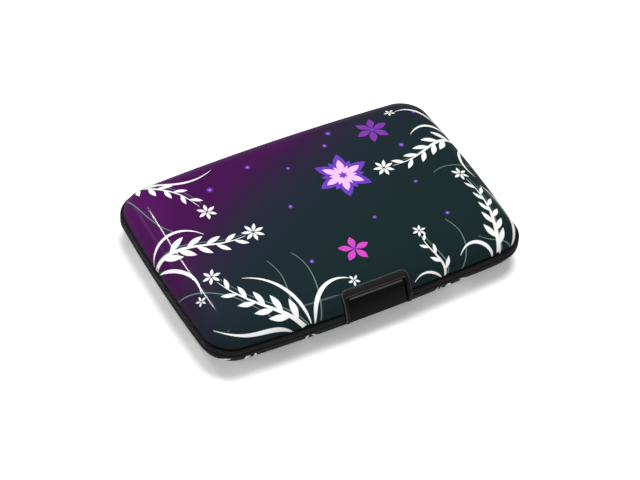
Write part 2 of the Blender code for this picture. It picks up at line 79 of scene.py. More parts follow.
frontY, rearY = -halfDepth, halfDepth
cornerRadius = caseForm["cornerRadius"]
edgeInset, edgeHeight = caseForm["edgeInset"], caseForm["edgeHeight"]
shoulderRun, shoulderRise = caseForm["shoulderRun"], caseForm["shoulderRise"]
skinThickness, seatGap = caseForm["shellThickness"], caseForm["seatGap"]


# Materials


def linear(colour):
    # sRGB hex to the linear values that Blender's sockets take
    parts = [int(colour[i:i + 2], 16) / 255 for i in (1, 3, 5)]
    return tuple(c / 12.92 if c <= 0.04045 else ((c + 0.055) / 1.055) ** 2.4 for c in parts) + (1,)


def addNode(tree, kind, settings=None, links=None):
    # settings are properties or socket values, and links the sources of sockets
    node = tree.nodes.new("ShaderNode" + kind)
    for name, value in (settings or {}).items():
        if isinstance(name, str) and hasattr(node, name):
            setattr(node, name, value)
        else:
            node.inputs[name].default_value = value
    for name, source in (links or {}).items():
        tree.links.new(source, node.inputs[name])
    return node


def newMaterial(name, **shaderValues):
    made = bpy.data.materials.new(name)
    made.use_nodes = True
    shader = made.node_tree.nodes["Principled BSDF"]
    for socket, value in shaderValues.items():
        value = linear(value) if isinstance(value, str) else value
        shader.inputs[socket.replace("_", " ")].default_value = value
    return made, made.node_tree, shader


def objectPlace(tree):
    return addNode(tree, "TexCoord").outputs["Object"]


def addNoise(tree, place, scale, detail):
    return addNode(tree, "TexNoise", {"Scale": scale, "Detail": detail}, {"Vector": place}).outputs["Fac"]


def multiplyAdd(tree, value, factor, addend):
    made = addNode(tree, "Math", {"operation": "MULTIPLY_ADD", 1: factor}, {0: value, 2: addend})
    return made.outputs["Value"]


def mixColours(tree, share, first, second):
    # each colour is a hex value or a node's output
    mixed = addNode(tree, "Mix", {"data_type": "RGBA"}, {"Factor": share})
    for socket, colour in ((6, first), (7, second)):
        if isinstance(colour, str):
            mixed.inputs[socket].default_value = linear(colour)
        else:
            tree.links.new(colour, mixed.inputs[socket])
    return mixed.outputs[2]


def addRoughness(tree, shader, pattern, least, most):
    spread = addNode(tree, "MapRange", {"To Min": least, "To Max": most}, {"Value": pattern})
    tree.links.new(spread.outputs["Result"], shader.inputs["Roughness"])


def addGrain(tree, shader, size, height, roughness, spread):
    # a fine grain, its size and height in mm, in the bump and the roughness
    grain = addNoise(tree, objectPlace(tree), 1 / (size * mm), 3)
    bump = addNode(tree, "Bump", {"Strength": 1, "Distance": height * mm}, {"Height": grain})
    tree.links.new(bump.outputs["Normal"], shader.inputs["Normal"])
    addRoughness(tree, shader, grain, roughness - spread, roughness + spread)


def lacquered(name, coat=0.45, coatIor=1.35):
    return newMaterial(name, Coat_Weight=coat, Coat_Roughness=0.06, Coat_IOR=coatIor, Roughness=0.5,
                       Specular_IOR_Level=0.08)


# places, sizes and pulls in mm
printed = {
    # share of the way from the front right to the rear left corner, and the ground's colour there
    "ground": [(0.0, "#18282A"), (0.27, "#1A292D"), (0.38, "#1E2731"), (0.5, "#272537"), (0.58, "#311D3D"),
               (0.66, "#401548"), (0.78, "#43114B"), (1.0, "#52135A")],
    "slope": -0.5,           # how much of x counts against y on that way
    "way": (-26, 64),
    "leftEnd": (-20, -60),   # the left end, over which the violet spreads by a pull of its own
    "leftPull": 16,
    "cloudScale": 45,
    "cloudPull": 8,
    "halo": "#7F4FD0",
    "core": "#DDBBFF",
    # for each tint, its reach as a share of the radius and its strength in the middle
    "glow": {"halo": (1.5, 1), "core": (0.55, 0.5)},
    # x, y and radius of the small soft lights
    "lights": [(-28, 20, 0.9), (-13, 24, 0.8), (-2, 18, 0.6), (13, 22, 0.7), (17, 27, 0.9), (35, 12, 0.8),
               (47, 25, 0.8), (-9, 3, 0.7), (31, -4, 0.6), (-14, -20, 0.7), (12, -12, 0.6), (33, -20, 0.7)],
    "peelScale": 500,
    "peelHeight": 0.004,
}


def printedAluminium(name, coat, coatIor):
    # Aluminium sheet, offset printed and lacquered: dense dark colours under a hard smooth clear coat
    made, tree, shader = lacquered(name, coat, coatIor)
    place = objectPlace(tree)
    apart = addNode(tree, "SeparateXYZ", None, {"Vector": place})
    # the violet lies along the rear left, more so towards the left end, with a slightly cloudy border
    way = multiplyAdd(tree, apart.outputs["X"], printed["slope"], apart.outputs["Y"])
    leftStart, leftEnd = printed["leftEnd"]
    leftward = addNode(tree, "MapRange", {"From Min": leftStart * mm, "From Max": leftEnd * mm},
                       {"Value": apart.outputs["X"]}).outputs["Result"]
    squared = addNode(tree, "Math", {"operation": "MULTIPLY"}, {0: leftward, 1: leftward})
    way = multiplyAdd(tree, squared.outputs["Value"], printed["leftPull"] * mm, way)
    cloud = addNoise(tree, place, printed["cloudScale"], 2)
    way = multiplyAdd(tree, cloud, printed["cloudPull"] * mm, way)
    wayStart, wayEnd = printed["way"]
    share = addNode(tree, "MapRange", {"From Min": wayStart * mm, "From Max": wayEnd * mm}, {"Value": way})
    ramp = addNode(tree, "ValToRGB", None, {"Fac": share.outputs["Result"]})
    stops = ramp.color_ramp.elements
    while len(stops) < len(printed["ground"]):
        stops.new(0.5)
    for stop, (position, colour) in zip(stops, printed["ground"]):
        stop.position = position
        stop.color = linear(colour)
    colour = ramp.outputs["Color"]
    for x, y, radius in printed["lights"]:
        middle = (x * mm, (y + caseForm["middleY"]) * mm, 0)
        away = addNode(tree, "VectorMath", {"operation": "SUBTRACT", 1: middle}, {0: place}).outputs[0]
        away = addNode(tree, "VectorMath", {"operation": "MULTIPLY", 1: (1, 1, 0)}, {0: away}).outputs[0]
        away = addNode(tree, "VectorMath", {"operation": "LENGTH"}, {0: away}).outputs["Value"]
        for tint, (reach, most) in printed["glow"].items():
            fade = {"interpolation_type": "SMOOTHSTEP", "From Min": radius * reach * mm, "From Max": 0,
                    "To Max": most}
            glow = addNode(tree, "MapRange", fade, {"Value": away}).outputs["Result"]
            colour = mixColours(tree, glow, colour, printed[tint])
    tree.links.new(colour, shader.inputs["Base Color"])
    # the lacquer's orange peel, about 2 mm from crest to crest and barely there
    peel = addNoise(tree, place, printed["peelScale"], 1)
    peelSize = {"Strength": 0.35, "Distance": printed["peelHeight"] * mm}
    bump = addNode(tree, "Bump", peelSize, {"Height": peel})
    tree.links.new(bump.outputs["Normal"], shader.inputs["Coat Normal"])
    return made


def printingInk(name, colour, shade):
    # Offset ink under the same lacquer: flat colour with a faint mottle where the ink lies thinner
    made, tree, shader = lacquered(name)
    mottle = addNoise(tree, objectPlace(tree), 900, 2)
    tree.links.new(mixColours(tree, mottle, colour, shade), shader.inputs["Base Color"])
    return made


def mouldedAbs(name, colour, roughness):
    # ABS, injection moulded with a fine spark-eroded grain: black with a soft satin shine
    made, tree, shader = newMaterial(name, IOR=1.54, Base_Color=colour)
    addGrain(tree, shader, 0.12, 0.006, roughness, 0.05)
    return made


def streakedMetal(name, colour, stretch, detail, least, most):
    made, tree, shader = newMaterial(name, Metallic=1, Base_Color=colour)
    drawn = addNode(tree, "Mapping", {"Scale": stretch}, {"Vector": objectPlace(tree)})
    addRoughness(tree, shader, addNoise(tree, drawn.outputs["Vector"], 1, detail), least, most)
    return made


def drawnSteel(name, colour, roughness):
    # Steel wire, cold drawn: bright metal with faint lines along its length
    return streakedMetal(name, colour, (60, 6000, 6000), 2, roughness - 0.08, roughness + 0.1)


def rolledAluminium(name):
    # Aluminium sheet, rolled and left bare inside: grey metal with a faint brushed direction
    return streakedMetal(name, "#C3C5C6", (90, 2500, 2500), 3, 0.36, 0.56)


def calenderedFilm(name, colour, roughness):
    # Polypropylene film, calendered and matt on one face: smooth dark sheet with a soft sheen
    made, tree, shader = newMaterial(name, IOR=1.49, Base_Color=colour)
    addGrain(tree, shader, 0.3, 0.004, roughness, 0.06)
    return made


def foamTape(name):
    # Acrylic foam tape, slit from the roll: pale, dull and slightly open celled
    made, tree, shader = newMaterial(name, Roughness=0.9)
    cells = addNode(tree, "TexVoronoi", {"Scale": 2500}, {"Vector": objectPlace(tree)})
    shade = mixColours(tree, cells.outputs["Distance"], "#C9C5BC", "#ABA69C")
    tree.links.new(shade, shader.inputs["Base Color"])
    return made


upperPrint = printedAluminium("aluminiumPrintedLacqueredLid", 0.45, 1.35)
# the base has a thicker, glossier coat, so its flanks mirror the floor
lowerPrint = printedAluminium("aluminiumPrintedLacqueredBase", 1, 1.7)
millAluminium = rolledAluminium("aluminiumRolledBare")
whiteInk = printingInk("inkOffsetWhite", "#F4F5F3", "#ECEEED")
sageInk = printingInk("inkOffsetSage", "#6E8A83", "#5F7B74")
violetInk = printingInk("inkOffsetViolet", "#6B43B8", "#6039AA")
roseInk = printingInk("inkOffsetPaleRose", "#F3BFF3", "#EDB2EF")
magentaInk = printingInk("inkOffsetMagenta", "#CF4AC2", "#C341B6")
purpleInk = printingInk("inkOffsetPurple", "#7D3AA6", "#733498")
frameAbs = mouldedAbs("absMouldedFrame", "#181717", 0.34)
# a lighter black that paints a highlight: the latch surround's rounded rims and the button's ridge take it
# in place of a real sheen
paintedHighlightAbs = mouldedAbs("absPaintedEdgeHighlight", "#4C4A49", 0.24)
buttonAbs = mouldedAbs("absMouldedButton", "#0C0C0C", 0.32)
pinSteel = drawnSteel("steelDrawnPin", "#B9BBBD", 0.3)
springSteel = drawnSteel("steelDrawnSpring", "#A9ABAF", 0.28)
leafFilm = calenderedFilm("polypropyleneCalenderedLeaf", "#343437", 0.42)
pleatFilm = calenderedFilm("polypropyleneCalenderedPleat", "#3C3C40", 0.46)
padFoam = foamTape("acrylicFoamTape")
print("materials made")


# Shared ways of making a piece


def addToScene(name, data):
    made = bpy.data.objects.new(name, data)
    bpy.context.scene.collection.objects.link(made)
    return made


def shape(bm, name):
    # a piece in the making, still in millimetres
    bmesh.ops.recalc_face_normals(bm, faces=bm.faces[:])
    mesh = bpy.data.meshes.new(name)
    bm.to_mesh(mesh)
    bm.free()
    return addToScene(name, mesh)


def dressPiece(piece, materials, sharp):
    # takes a finished piece into the row frame and gives it its materials
    piece.data.transform(toRow)
    chosen = [min(face.material_index, len(materials) - 1) for face in piece.data.polygons]
    piece.data.materials.clear()
    for material in materials:
        piece.data.materials.append(material)
    piece.data.polygons.foreach_set("material_index", chosen)
    piece.data.shade_smooth()
    piece.data.set_sharp_from_angle(angle=radians(sharp))


def attach(piece, materials, body, nodes, slotName, sharp=32):
    # dresses a finished piece and lets it move with its body
    dressPiece(piece, materials, sharp)
    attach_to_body(piece, body)
    if nodes:
        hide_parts(*nodes)


def evaluated(piece):
    bpy.context.view_layer.update()
    return bpy.data.meshes.new_from_object(piece.evaluated_get(bpy.context.evaluated_depsgraph_get()))


def applyModifiers(piece):
    mesh = evaluated(piece)
    piece.modifiers.clear()
    piece.data = mesh


def cutAway(piece, cutter):
    step = piece.modifiers.new(cutter.name, "BOOLEAN")
    step.operation = "DIFFERENCE"
    step.solver = "EXACT"
    step.object = cutter
    applyModifiers(piece)
    bpy.data.objects.remove(cutter, do_unlink=True)


def roundEdges(piece, width, segments, angle):
    step = piece.modifiers.new("roundEdges", "BEVEL")
    step.width = width
    step.segments = segments
    step.limit_method = "ANGLE"
    step.angle_limit = radians(angle)
    step.use_clamp_overlap = True
    step.miter_outer = "MITER_ARC"
    applyModifiers(piece)


def roundOff(bm, affect, parts, size, steps, material=-1):
    # rounds the corners of a flat face ("VERTICES") or the rims of a solid ("EDGES")
    bmesh.ops.bevel(bm, geom=parts, affect=affect, offset=size, offset_type="OFFSET", segments=steps,
                    profile=0.5, clamp_overlap=affect == "EDGES", material=material)


def clamp(value, least, most):
    return min(max(value, least), most)


def evenly(start, end, steps):
    # places from start to end, an equal step apart
    return [start + (end - start) * step / steps for step in range(steps + 1)]


def quarterTurn(steps):
    # how far in and how far up, as shares, each step round a quarter circle lies
    return [(1 - cos(turn), sin(turn)) for turn in evenly(0, radians(90), steps)]


def ringRadius(inset):
    # the corner radius where the case's outline is drawn in
    return max(cornerRadius - caseForm["cornerShrink"] * inset, caseForm["leastRadius"])


def casePoint(plan, inset, height):
    # moves a point of the case's outline in by inset: the corners tighten and the sides keep their bow
    radius = ringRadius(inset)
    moved = []
    for value, size in zip(plan, (halfLength, halfDepth)):
        core = size - cornerRadius
        along = clamp(value, -core, core)
        outward = (value - along) / cornerRadius
        moved.append(along * (size - inset - radius) / core + outward * radius)
    x, y = moved
    bowX = 1 - caseForm["shortBow"] / (halfLength - inset) * (y / (halfDepth - inset)) ** 2
    bowY = 1 - caseForm["longBow"] / (halfDepth - inset) * (x / (halfLength - inset)) ** 2
    return Vector((x * bowX, y * bowY, height))


def skinInset(height, behind):
    # the shoulder's inset at a height, for a skin that lies behind the outer one
    share = clamp((height - edgeHeight) / (shoulderRise - behind), 0, 1)
    run = (shoulderRun - behind) * (1 - sqrt(1 - share * share))
    return edgeInset + behind + run


def skinHeight(inset, behind):
    share = clamp(1 - (inset - edgeInset - behind) / (shoulderRun - behind), 0, 1)
    return edgeHeight + (shoulderRise - behind) * sqrt(1 - share * share)


def plateFace(bm, width, front, rear, height):
    bmesh.ops.create_grid(bm, x_segments=1, y_segments=1, size=1)
    bmesh.ops.scale(bm, vec=(width / 2, (rear - front) / 2, 1), verts=bm.verts[:])
    bmesh.ops.translate(bm, vec=(0, (rear + front) / 2, height), verts=bm.verts[:])


def caseRing(bm):
    # the case's outline: the edge of a plate with bevelled corners and divided sides
    plateFace(bm, caseForm["length"], frontY, rearY, 0)
    roundOff(bm, "VERTICES", bm.verts[:], cornerRadius, caseForm["cornerSteps"])
    bmesh.ops.delete(bm, geom=bm.faces[:], context="FACES_ONLY")
    sides = [e for e in bm.edges if e.calc_length() > cornerRadius]
    for axis, steps in ((1, caseForm["longSteps"]), (0, caseForm["shortSteps"])):
        level = [e for e in sides if abs(e.verts[0].co[axis] - e.verts[1].co[axis]) < near]
        sides = [e for e in sides if e not in level]
        bmesh.ops.subdivide_edges(bm, edges=level, cuts=steps - 1)
    plan = bm.verts.layers.float_vector.new("plan")
    for vert in bm.verts:
        vert[plan] = vert.co
    return plan


def only(kind, items):
    return [item for item in items if isinstance(item, kind)]


def extrudeLine(bm, line):
    # carries a row of edges on: new points, new row and the faces between
    made = bmesh.ops.extrude_edge_only(bm, edges=line)["geom"]
    verts = set(only(bmesh.types.BMVert, made))
    ahead = [e for e in only(bmesh.types.BMEdge, made) if verts.issuperset(e.verts)]
    return verts, ahead, only(bmesh.types.BMFace, made)


def sweepRound(stations, closed, innerRows=0):
    # the outline through (inset, height) stations, closed or filled at both ends; the first innerRows rows
    # and the first filling take the second material
    bm = bmesh.new()
    plan = caseRing(bm)
    for vert in bm.verts:
        vert.co = casePoint(vert[plan][:2], *stations[0])
    firstRing = bm.edges[:]
    ring = firstRing
    for row, (inset, height) in enumerate(stations[1:] + (stations[:1] if closed else [])):
        verts, ring, faces = extrudeLine(bm, ring)
        for vert in verts:
            vert.co = casePoint(vert[plan][:2], inset, height)
        for face in faces:
            face.material_index = 1 if row < innerRows else 0
    if closed:
        bmesh.ops.remove_doubles(bm, verts=bm.verts[:], dist=near)
    else:
        bmesh.ops.edgeloop_fill(bm, edges=firstRing, mat_nr=1 if innerRows else 0)
        bmesh.ops.edgeloop_fill(bm, edges=ring)
    return bm


def extrudeFace(bm, face, offset):
    moved = bmesh.ops.extrude_face_region(bm, geom=[face])["geom"]
    bmesh.ops.translate(bm, vec=offset, verts=only(bmesh.types.BMVert, moved))


def acrossCase(section, half, name):
    # a section of (inset from the front, height), carried across the case's middle
    bm = bmesh.new()
    face = bm.faces.new([bm.verts.new((-half, frontY + inset, height)) for inset, height in section])
    extrudeFace(bm, face, (2 * half, 0, 0))
    return shape(bm, name)


def boxSection(front, back, bottom, top):
    return [(front, bottom), (front, top), (back, top), (back, bottom)]


def roundBar(bm, start, end, place, radius, sides, edge=0):
    # a bar along the case's length, with its two rims rounded where edge is given
    turn = Matrix.Rotation(radians(90), 4, "Y")
    matrix = Matrix.Translation(((start + end) / 2, place[0], place[1])) @ turn
    made = bmesh.ops.create_cone(bm, cap_ends=True, segments=sides, radius1=radius, radius2=radius,
                                 depth=end - start, matrix=matrix)
    if edge:
        verts = set(made["verts"])
        rims = [e for e in bm.edges if verts.issuperset(e.verts)
                and abs(e.verts[0].co.x - e.verts[1].co.x) < near]
        roundOff(bm, "EDGES", rims, edge, 3)


def barPiece(name, half, place, radius, sides=caseForm["barSides"], edge=caseForm["barEdge"]):
    bm = bmesh.new()
    roundBar(bm, -half, half, place, radius, sides, edge)
    return shape(bm, name)


def roundPlate(width, front, rear, radius, steps, base, top, edge=0, rearOnly=False):
    # a flat plate with all or only the rear corners round, and softened rims where edge is given
    bm = bmesh.new()
    plateFace(bm, width, front, rear, base)
    corners = [v for v in bm.verts if not rearOnly or v.co.y > (rear + front) / 2]
    roundOff(bm, "VERTICES", corners, radius, steps)
    extrudeFace(bm, bm.faces[:][0], (0, 0, top - base))
    if edge:
        rims = [e for e in bm.edges if abs(e.verts[0].co.z - e.verts[1].co.z) < near]
        roundOff(bm, "EDGES", rims, edge, 2)
    return bm


# Pressed shells


shell = {
    "outerSteps": 30, "innerSteps": 10, "rim": 0.12, "latchWidth": 22.6, "latchReach": 4.9,
    "latchRadius": 2, "latchSteps": 10, "notchTop": 14, "footDrop": 2.9, "footDepth": 1.2, "sideGap": 0.3,
}
latchHalf = shell["latchWidth"] / 2


def shellStations(side):
    # up the inner skin to the rolled edge, over it and back up the outer skin
    rim = shell["rim"]
    stations = []
    for inward, upward in reversed(quarterTurn(shell["innerSteps"])):
        stations.append((edgeInset + skinThickness + (shoulderRun - skinThickness) * inward,
                         edgeHeight + (shoulderRise - skinThickness) * upward))
    stations[-1] = (stations[-1][0], stations[-1][1] + rim)
    stations += [(edgeInset + skinThickness - rim, edgeHeight), (edgeInset + rim, edgeHeight)]
    for inward, upward in quarterTurn(shell["outerSteps"])[1:]:
        stations.append((edgeInset + shoulderRun * inward, edgeHeight + shoulderRise * upward))
    return [(inset, side * height) for inset, height in stations]


def pressedShell(name, side, cutter, sheets, *home):
    piece = shape(sweepRound(shellStations(side), False, shell["innerSteps"]), name)
    cutAway(piece, cutter)
    attach(piece, sheets, *home)


lidNotch = roundPlate(2 * (latchHalf + seatGap), frontY - caseForm["outside"],
                      frontY + shell["latchReach"] + seatGap, shell["latchRadius"] + seatGap,
                      shell["latchSteps"], 0, shell["notchTop"], rearOnly=True)
pressedShell("upperShell", 1, shape(lidNotch, "lidNotch"), [upperPrint, millAluminium],
             "lid", ["upper_shell"], "printed_shell_upper")
notchDepth = edgeInset + skinThickness + shell["footDepth"]
baseNotch = boxSection(-caseForm["outside"], notchDepth, -shell["footDrop"], 0)
baseNotch = acrossCase(baseNotch, latchHalf + shell["sideGap"], "baseNotch")
pressedShell("lowerShell", -1, baseNotch, [lowerPrint, millAluminium],
             "lower_case", ["lower_shell"], "printed_shell_lower")
print("shells made")


# Printed drawing, as thin inks on the lacquered sheet


# above is the lowest ink's height over the lacquer, layer the rise from one colour to the next, and step the
# rise from one stroke to the next within a colour
ink = {
    "thickness": 0.016, "above": 0.014, "layer": 0.011, "step": 0.0008, "levels": 10, "resolution": 8,
    "cuts": 3, "edgeGap": 0.25, "weld": 0.0005, "bowRounds": 3, "halvings": 18, "farthest": -4,
}
flatInset = edgeInset + shoulderRun

# length of the shoulder's curve from the flat lid down, against its angle
shoulderArc = [(0, 90)]
for degree in range(89, -1, -1):
    turn = radians(degree + 0.5)
    climb = hypot(shoulderRun * sin(turn), shoulderRise * cos(turn))
    shoulderArc.append((shoulderArc[-1][0] + climb * radians(1), degree))


def planAt(x, y, inset):
    # the outline's point nearest to (x, y) when it is drawn in, and how far outside that lies
    radius = ringRadius(inset)
    halfX, halfY = halfLength - inset, halfDepth - inset
    plainX, plainY = x, y
    for step in range(ink["bowRounds"]):
        plainX = x / (1 - caseForm["shortBow"] / halfX * (plainY / halfY) ** 2)
        plainY = y / (1 - caseForm["longBow"] / halfY * (plainX / halfX) ** 2)
    alongX = clamp(plainX, radius - halfX, halfX - radius)
    alongY = clamp(plainY, radius - halfY, halfY - radius)
    outX, outY = plainX - alongX, plainY - alongY
    away = hypot(outX, outY)
    outward = cornerRadius / max(away, near)
    planX = alongX / (halfX - radius) * (halfLength - cornerRadius) + outX * outward
    planY = alongY / (halfY - radius) * (halfDepth - cornerRadius) + outY * outward
    return (planX, planY), away - radius


def ontoSkin(x, y, lift, side):
    # lays a point of the flat drawing on the shell, keeping its distances down over the shoulder
    if planAt(x, y, flatInset)[1] <= 0:
        return Vector((x, y, side * (edgeHeight + shoulderRise + lift)))
    least, most = ink["farthest"], flatInset
    for step in range(ink["halvings"]):
        middle = (least + most) / 2
        if planAt(x, y, middle)[1] < 0:
            least = middle
        else:
            most = middle
    plan = planAt(x, y, least)[0]
    gone = flatInset - least
    for (lastArc, lastDegree), (arc, degree) in zip(shoulderArc, shoulderArc[1:]):
        if arc >= gone:
            break
    turn = radians(lastDegree + (degree - lastDegree) * clamp((gone - lastArc) / (arc - lastArc), 0, 1))
    fall = shoulderRise * cos(turn)
    run = shoulderRun * sin(turn)
    steep = hypot(fall, run)
    inset = edgeInset + shoulderRun * (1 - cos(turn)) - lift * fall / steep
    height = edgeHeight + shoulderRise * sin(turn) + lift * run / steep
    return casePoint(plan, inset, side * height)


def flatRibbons(name, strokes, layer):
    # each stroke is a row of (x, y, half width), drawn as a flat ribbon
    curve = bpy.data.curves.new(name, "CURVE")
    curve.dimensions = "3D"
    curve.twist_mode = "Z_UP"
    curve.extrude = 1
    curve.resolution_u = ink["resolution"]
    for index, stroke in enumerate(strokes):
        spline = curve.splines.new("NURBS")
        spline.points.add(len(stroke) - 1)
        for point, (x, y, half) in zip(spline.points, stroke):
            point.co = (x, y, layer * ink["layer"] + index % ink["levels"] * ink["step"], 1)
            point.radius = half
            point.tilt = radians(90)
        spline.order_u = min(4, len(stroke))
        spline.use_endpoint_u = True
    drawn = addToScene(name + "Lines", curve)
    flat = evaluated(drawn)
    bpy.data.objects.remove(drawn, do_unlink=True)
    bm = bmesh.new()
    bm.from_mesh(flat)
    return bm


def inkPiece(name, strokes, material, layer=0, side=1):
    # ribbons thickened and laid on the skin of the lid, or of the base where side is -1
    bm = flatRibbons(name, strokes, layer)
    bmesh.ops.remove_doubles(bm, verts=bm.verts[:], dist=ink["weld"])
    across = [edge for edge in bm.edges if len(edge.link_faces) == 2]
    bmesh.ops.subdivide_edges(bm, edges=across, cuts=ink["cuts"])
    # nothing is printed past the shell's rolled edge
    edgeLine = flatInset - shoulderArc[-1][0] + ink["edgeGap"]
    past = [face for face in bm.faces if any(planAt(v.co.x, v.co.y, edgeLine)[1] > 0 for v in face.verts)]
    bmesh.ops.delete(bm, geom=past, context="FACES")
    for face in bm.faces:
        if face.normal.z < 0:
            face.normal_flip()
    bmesh.ops.solidify(bm, geom=bm.faces[:], thickness=ink["thickness"])
    for vert in bm.verts:
        vert.co = ontoSkin(vert.co.x, vert.co.y, vert.co.z + ink["above"], side)
    if side > 0:
        attach(shape(bm, name), [material], "lid", [], "printed_shell_upper", 50)
    else:
        attach(shape(bm, name), [material], "lower_case", [], "printed_shell_lower", 50)


# shares of a leaf's length with the share of its half width there, and the strokes' sizes in mm and degrees
leafShares = ((0, 0.08), (0.2, 0.6), (0.45, 1), (0.7, 0.85), (0.9, 0.35), (1, 0.05))
pen = {
    "leastHalf": 0.04, "stemSteps": 9, "stemTip": 0.06, "bladeSteps": 12, "bladeTip": 0.05,
    "bladeShare": 0.65, "spread": 42, "firstShare": 0.14, "lastShare": 0.88, "taperShare": 0.45,
    "leafShare": 0.17, "bendShare": 0.12, "petalShare": 0.12, "grassHalf": 0.14, "grassTip": 0.09,
    "asideHalf": 0.12, "asideTip": 0.08, "aside": (1.1, 0.9),
}


def alongCurve(control, share):
    # a point of a four-point Bezier curve and its direction
    rest = 1 - share
    weights = (rest ** 3, 3 * rest ** 2 * share, 3 * rest * share ** 2, share ** 3)
    slopes = (-3 * rest ** 2, 3 * rest ** 2 - 6 * rest * share, 6 * rest * share - 3 * share ** 2,
              3 * share ** 2)
    x, y = (sum(w * point[axis] for w, point in zip(weights, control)) for axis in (0, 1))
    dx, dy = (sum(w * point[axis] for w, point in zip(slopes, control)) for axis in (0, 1))
    return x, y, atan2(dy, dx)


def leafStroke(x, y, heading, length, half, bend=0):
    points = []
    for share, width in leafShares:
        along, side = length * share, bend * length * share * share
        points.append((x + along * cos(heading) - side * sin(heading),
                       y + along * sin(heading) + side * cos(heading),
                       max(half * width, pen["leastHalf"])))
    return points


def curveStroke(control, steps, halfAt):
    # a stroke along a curve, whose half width follows from the share of the way
    return [(*alongCurve(control, share)[:2], halfAt(share)) for share in evenly(0, 1, steps)]


def stemStroke(control, half, tip=pen["stemTip"]):
    return curveStroke(control, pen["stemSteps"], lambda share: half * (1 - share) + tip)


def bladeStroke(control, half):
    # a long blade of grass, widest at a third of its length, with a fine tip
    swell = pen["bladeShare"]
    return curveStroke(control, pen["bladeSteps"],
                       lambda share: half * sin(pi * share ** swell) + pen["bladeTip"])


def branch(control, half, leaves, length):
    # a stem with leaves left and right in turn, which shorten towards the tip
    strokes = [stemStroke(control, half)]
    for index, share in enumerate(evenly(pen["firstShare"], pen["lastShare"], leaves - 1)):
        x, y, heading = alongCurve(control, share)
        side = 1 if index % 2 else -1
        size = length * (1 - pen["taperShare"] * share)
        strokes.append(leafStroke(x, y, heading + side * radians(pen["spread"]), size,
                                  size * pen["leafShare"], -pen["bendShare"] * side))
    return strokes


def blossom(x, y, petals, length, half, turn, start=pen["petalShare"]):
    strokes = []
    for index in range(petals):
        heading = radians(turn + 360 * index / petals)
        rootX = x + length * start * cos(heading)
        rootY = y + length * start * sin(heading)
        strokes.append(leafStroke(rootX, rootY, heading, length, half))
    return strokes


drawing = {
    # four control points, stem half width, leaf count and first leaf length, all in mm on the unrolled lid
    "branches": [
        [((-57, 3), (-47, 6), (-38, -4), (-27, -2)), 0.75, 9, 7.5],
        [((-25, -39.8), (-28, -31), (-40, -28), (-43, -15)), 0.8, 9, 7.5],
        [((-47, 39.5), (-46, 30), (-37, 27), (-34, 15)), 0.6, 8, 6.5],
        [((56.8, 10), (46, 13), (40, 3), (28, 5)), 0.7, 9, 7],
        [((44, -39.8), (42, -30), (50, -22), (46.5, -9)), 0.8, 10, 6.5],
        [((24, -39.8), (25, -34), (20, -30), (21, -25)), 0.4, 5, 4.5],
    ],
    # four control points and the half width
    "blades": [
        ((-29, -40), (-34, -33), (-44, -40), (-52, -29), 0.7),
        ((-22, -40), (-20, -30), (-12, -26), (-6, -30), 0.65),
        ((-23, -39.8), (-23, -28), (-29, -19), (-36, -17), 0.5),
        ((-57, 1), (-50, -3), (-46, -9), (-49, -16), 0.6),
        ((-57, 5), (-50, 12), (-42, 10), (-38, 4), 0.45),
        ((-45, 40), (-41, 27), (-31, 24), (-23, 29), 0.55),
        ((49, -39.8), (54, -31), (56, -20), (50, -12), 0.8),
        ((42, -39.8), (40, -32), (34, -30), (30, -35), 0.55),
        ((57, 12), (51, 19), (45, 19), (40, 15), 0.55),
        ((57, 8), (50, 4), (48, -3), (51, -8), 0.5),
        ((56, 14), (53, 24), (46, 28), (41, 27), 0.45),
        ((23, -39.8), (20, -36), (16, -35), (13, -38), 0.35),
    ],
    # x, y, petals, petal length, half width and turn
    "blossoms": [
        (-24.2, -1.6, 7, 3.2, 0.62, 8), (-43.6, -12.2, 6, 2.6, 0.55, 0), (-33, 12, 6, 2.8, 0.6, 20),
        (25, 5.4, 7, 3, 0.6, 12), (45.8, -6.3, 6, 2.6, 0.55, 25), (21.4, -22.8, 6, 2, 0.42, 5),
        (-5.4, -31, 5, 1.7, 0.4, 40), (-50.2, -18, 5, 1.6, 0.36, 12), (39.4, 27.4, 5, 1.7, 0.4, 30),
    ],
    # four control points
    "grasses": [
        ((-56.8, -12), (-46, -14), (-40, -24), (-33, -34)),
        ((-20, -39.8), (-17, -32), (-14, -20), (-18, -14)),
        ((-53, 37), (-49, 22), (-50, 14), (-44, 8)), ((56.8, -2), (50, -4), (44, 0), (38, -3)),
        ((53, -38), (51, -27), (54, -18), (48, -12)), ((30, -39.8), (33, -34), (35, -28), (31, -22)),
        ((-26, -39.8), (-29, -30), (-22, -24), (-26, -14)), ((50, -39), (48, -34), (42, -35), (38, -31)),
    ],
    # the large blossoms' rings of petals in the same way, for some also the root's share of the petal length
    "violetPetals": [(12, 8, 6, 8.2, 2.1, 15), (12, 8, 6, 6, 1.4, 45)],
    "rosePetals": [(12, 8, 6, 5.6, 1.25, 15, 0.2), (12, 8, 6, 3.6, 0.7, 45, 0.2)],
    "magentaPetals": [(0, -21, 5, 4.4, 1.25, 80)],
    "purplePetals": [(30, 22, 6, 5, 1.3, 10)],
    "blossomEyes": [(12, 8, 6, 1.3, 0.4, 15, 0), (0, -21, 5, 0.9, 0.3, 44, 0), (30, 22, 6, 0.9, 0.3, 40, 0)],
}


def whiteSprays(mirror):
    # the branches, blades and small blossoms, as they stand or mirrored
    strokes = []
    for control, half, leaves, length in drawing["branches"]:
        strokes += branch([(mirror * x, y) for x, y in control], half, leaves, length)
    for *control, half in drawing["blades"]:
        strokes.append(bladeStroke([(mirror * x, y) for x, y in control], half))
    for x, y, *petals in drawing["blossoms"]:
        strokes += blossom(mirror * x, y, *petals)
    return strokes


